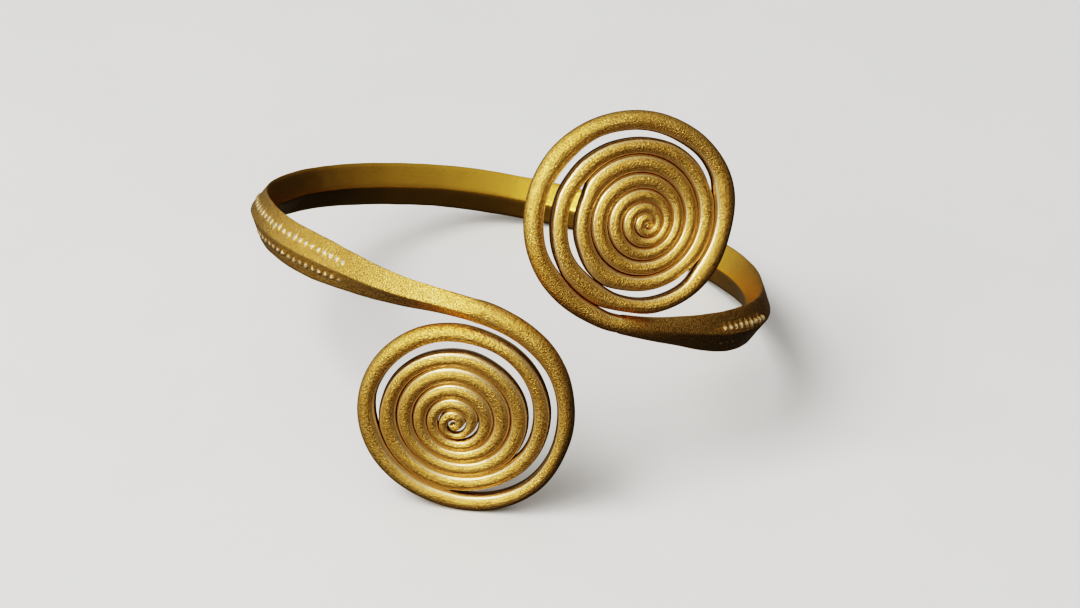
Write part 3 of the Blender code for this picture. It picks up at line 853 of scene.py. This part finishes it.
class BRACELET_OT_gold(bpy.types.Operator):
    """Gives the wire its worn gold, with painted shade, reflections and glints in its colour"""

    bl_idname = "bracelet.gold"
    bl_label = "Gold Finish"

    def execute(self, context):
        settings = context.scene.bracelet
        piece = bpy.data.objects[PIECE]
        material = bpy.data.materials.new("worn_gold_painted_light")
        material.use_nodes = True
        n = Nodes(material.node_tree)
        shader = material.node_tree.nodes["Principled BSDF"]
        unbent = n.attribute("unbent").outputs["Vector"]
        facet = n.attribute("facet").outputs["Fac"]
        bar = n.attribute("bar").outputs["Fac"]
        sheltered = n.attribute("sheltered").outputs["Fac"]
        punched = n.attribute("punched").outputs["Fac"]

        grain = n.noise(unbent, 4.6, 2.0, 0.6)
        streaks = n.noise(n.stretched(unbent, (0.22, 4.2, 4.2)), 1.0, 3.0, 0.6)
        patches = n.noise(unbent, 0.45, 3.0, 0.55)

        # The bar's inner facets are those from 2 to 4.
        inner = n.maths("MULTIPLY", n.between(facet, 1.97, 2.03), bar)
        calm = n.maths("MAXIMUM", sheltered, inner)

        gold, red_gold = (*settings.gold_colour, 1.0), (*settings.red_gold_colour, 1.0)
        tone = n.mix(n.between(patches, 0.35, 0.68), gold, red_gold)
        # Painted shade: the bar's inner facets are given a darker, browner gold.
        tone = n.mix(n.maths("MULTIPLY", inner, 0.85), tone, (*settings.inner_shade_colour, 1.0))
        dusty = n.between(grain, 0.36, 0.54, 0.60, 0.0)
        dusty = n.maths("MULTIPLY", dusty, n.between(calm, 0.0, 1.0, 1.0, 0.25))
        tone = n.mix(dusty, tone, (*settings.dust_colour, 1.0))
        # Painted reflection: the sides that face the neighbouring turns are made paler, for the light those
        # turns throw on them.
        tone = n.mix(sheltered, tone, (*settings.turn_reflection_colour, 1.0))
        # Painted shade: the part of each side nearest the next turn, at the bottom of the groove, is
        # darkened.
        turned = n.maths("COSINE", n.maths("MULTIPLY", facet, pi))
        painted_groove_shade = n.maths("MULTIPLY", n.between(turned, 0.76, 0.93, 0.0, 0.85), sheltered)
        tone = n.mix(painted_groove_shade, tone, (*settings.groove_shade_colour, 1.0))
        # Painted glint: the punched dots are made paler so they shine as if catching the light.
        tone = n.mix(n.maths("MULTIPLY", punched, 0.75), tone, (*settings.punched_glint_colour, 1.0))
        material.node_tree.links.new(tone, shader.inputs["Base Color"])

        uneven = n.maths("ADD", n.maths("MULTIPLY", patches, 0.6), n.maths("MULTIPLY", streaks, 0.4))
        rough = n.between(uneven, 0.3, 0.7, settings.polish, settings.satin)
        rough = n.maths("MULTIPLY", rough, n.between(punched, 0.0, 1.0, 1.0, 0.55))
        material.node_tree.links.new(rough, shader.inputs["Roughness"])

        height = n.maths("ADD", n.maths("MULTIPLY", grain, 0.11), n.maths("MULTIPLY", streaks, 0.075))
        height = n.maths("MULTIPLY", height, n.between(calm, 0.0, 1.0, 1.0, 0.3))
        speck = n.noise(unbent, 9.0, 2.0, 0.6)
        speck = n.maths("MULTIPLY", n.maths("MULTIPLY", speck, 0.07), n.between(calm, 0.0, 1.0, 1.0, 0.3))
        height = n.maths("ADD", height, speck)
        bump = n.add("ShaderNodeBump", {"Height": height, "Strength": 1.0, "Distance": MM})
        material.node_tree.links.new(bump.outputs[0], shader.inputs["Normal"])
        shader.inputs["Metallic"].default_value = 1.0
        piece.data.materials.append(material)
        piece.data.shade_smooth()
        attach(piece, "root")
        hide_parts("bracelet")
        return {"FINISHED"}


CAMERA_AT = (-15.442 * MM, -410.531 * MM, 276.116 * MM)
CAMERA_AIM = (3.684 * MM, 0.096 * MM, 8.460 * MM)
CAMERA_ROLL = 0.664
CAMERA_LENS = 124.77
KEY_TOWARDS = (-0.478, -0.569, 0.669)
WINDOW_TOWARDS = (-0.80, -0.33, 0.50)
SHADE_TOWARDS = (0.75, 0.42, -0.50)


def add_lamp(name, towards, distance, size, power, aim, colour=(1.0, 1.0, 1.0)):
    lamp = bpy.data.lights.new(name, "AREA")
    lamp.shape = "RECTANGLE"
    lamp.size, lamp.size_y = size
    lamp.energy = power
    lamp.color = colour
    holder = bpy.data.objects.new(name, lamp)
    direction = Vector(towards).normalized()
    holder.location = Vector(aim) + direction * distance
    holder.rotation_euler = direction.to_track_quat("Z", "Y").to_euler()
    bpy.context.scene.collection.objects.link(holder)
    return holder


class BRACELET_OT_stage(bpy.types.Operator):
    """Lays the floor and sets the lamps and the camera"""

    bl_idname = "bracelet.stage"
    bl_label = "Floor, Lamps and Camera"

    def execute(self, context):
        settings = context.scene.bracelet
        scene = context.scene
        middle = (CAD_LOW + CAD_HIGH) / 2

        mesh = bpy.data.meshes.new("floor")
        radius, sides = 4.0, 96
        angles = [2 * pi * k / sides for k in range(sides)]
        ring = [(radius * cos(a), radius * sin(a), 0.0) for a in angles]
        mesh.from_pydata(ring, [], [list(range(sides))])
        floor = bpy.data.objects.new("floor", mesh)
        scene.collection.objects.link(floor)
        material = bpy.data.materials.new("pale_floor")
        material.use_nodes = True
        n = Nodes(material.node_tree)
        shader = material.node_tree.nodes["Principled BSDF"]
        place = n.add("ShaderNodeTexCoord").outputs["Object"]
        mottle = n.between(n.noise(place, 30.0, 4.0, 0.6), 0.3, 0.7)
        pale = settings.floor_colour
        tone = n.mix(mottle, (*[0.97 * c for c in pale], 1.0), (*pale, 1.0))
        material.node_tree.links.new(tone, shader.inputs["Base Color"])
        shader.inputs["Roughness"].default_value = 0.8
        shader.inputs["Specular IOR Level"].default_value = 0.2
        mesh.materials.append(material)

        add_lamp("key_lamp", KEY_TOWARDS, 0.62, (0.46, 0.40), settings.key_power, middle, (1.0, 0.98, 0.95))
        add_lamp("key_core", KEY_TOWARDS, 0.60, (0.14, 0.14), settings.core_power, middle, (1.0, 0.98, 0.95))
        floor_lamp = add_lamp(
            "floor_lamp", (-0.6, -0.25, 1.0), 1.3, (0.55, 0.55), settings.floor_power, middle
        )
        floor_lamp.visible_glossy = False
        floor.visible_glossy = False

        world = bpy.data.worlds.new("studio")
        scene.world = world
        world.use_nodes = True
        n = Nodes(world.node_tree)
        look = n.add("ShaderNodeTexCoord").outputs["Generated"]

        def towards(direction):
            return n.add(
                "ShaderNodeVectorMath", {0: look, 1: Vector(direction).normalized()}, operation="DOT_PRODUCT"
            ).outputs["Value"]

        light = n.between(towards((0.0, 0.0, 1.0)), -1.0, -0.3, 0.4 * settings.dark_side, settings.dark_side)
        window = n.between(towards(WINDOW_TOWARDS), -0.15, 1.0, 0.0, settings.window_light)
        ceiling = n.between(towards((0.0, 0.0, 1.0)), 0.0, 1.0, 0.0, settings.ceiling_light)
        light = n.maths("ADD", n.maths("ADD", light, window), ceiling)
        light = n.maths("MULTIPLY", light, n.between(towards(SHADE_TOWARDS), 0.7, 0.95, 1.0, 0.25))
        background = world.node_tree.nodes["Background"]
        world.node_tree.links.new(light, background.inputs["Color"])
        scene.view_settings.view_transform = "Filmic"
        scene.view_settings.look = "Very High Contrast"

        camera = bpy.data.cameras.new("camera")
        camera.sensor_width = 36.0
        camera.lens = CAMERA_LENS
        camera.clip_start, camera.clip_end = 0.01, 20.0
        holder = bpy.data.objects.new("camera", camera)
        away = Vector(CAMERA_AT) - Vector(CAMERA_AIM)
        turn = away.to_track_quat("Z", "Y").to_matrix().to_4x4()
        turn = turn @ Matrix.Rotation(radians(CAMERA_ROLL), 4, "Z")
        holder.matrix_world = Matrix.Translation(CAMERA_AT) @ turn
        scene.collection.objects.link(holder)
        scene.camera = holder
        return {"FINISHED"}


class BRACELET_PT_panel(bpy.types.Panel):
    """Lists the steps of the bracelet and its sizes"""

    bl_label = "Spiral Bracelet"
    bl_idname = "BRACELET_PT_panel"
    bl_space_type = "VIEW_3D"
    bl_region_type = "UI"
    bl_category = "Bracelet"

    def draw(self, context):
        for step in STEPS:
            self.layout.operator(step.bl_idname)
        for name in BraceletSettings.__annotations__:
            self.layout.prop(context.scene.bracelet, name)


STEPS = (BRACELET_OT_wire, BRACELET_OT_hammer, BRACELET_OT_dots, BRACELET_OT_gold, BRACELET_OT_stage)
CLASSES = (BraceletSettings, *STEPS, BRACELET_PT_panel)


def register():
    for cls in CLASSES:
        bpy.utils.register_class(cls)
    bpy.types.Scene.bracelet = bpy.props.PointerProperty(type=BraceletSettings)


def unregister():
    del bpy.types.Scene.bracelet
    for cls in reversed(CLASSES):
        bpy.utils.unregister_class(cls)


def main():
    for thing in list(bpy.data.objects):
        if thing.type in {"CAMERA", "LIGHT"} or thing.name == "Cube":
            bpy.data.objects.remove(thing)
    register()
    bpy.ops.bracelet.wire()
    bpy.ops.bracelet.hammer()
    bpy.ops.bracelet.dots()
    bpy.ops.bracelet.gold()
    bpy.ops.bracelet.stage()


if __name__ == "__main__":
    main()
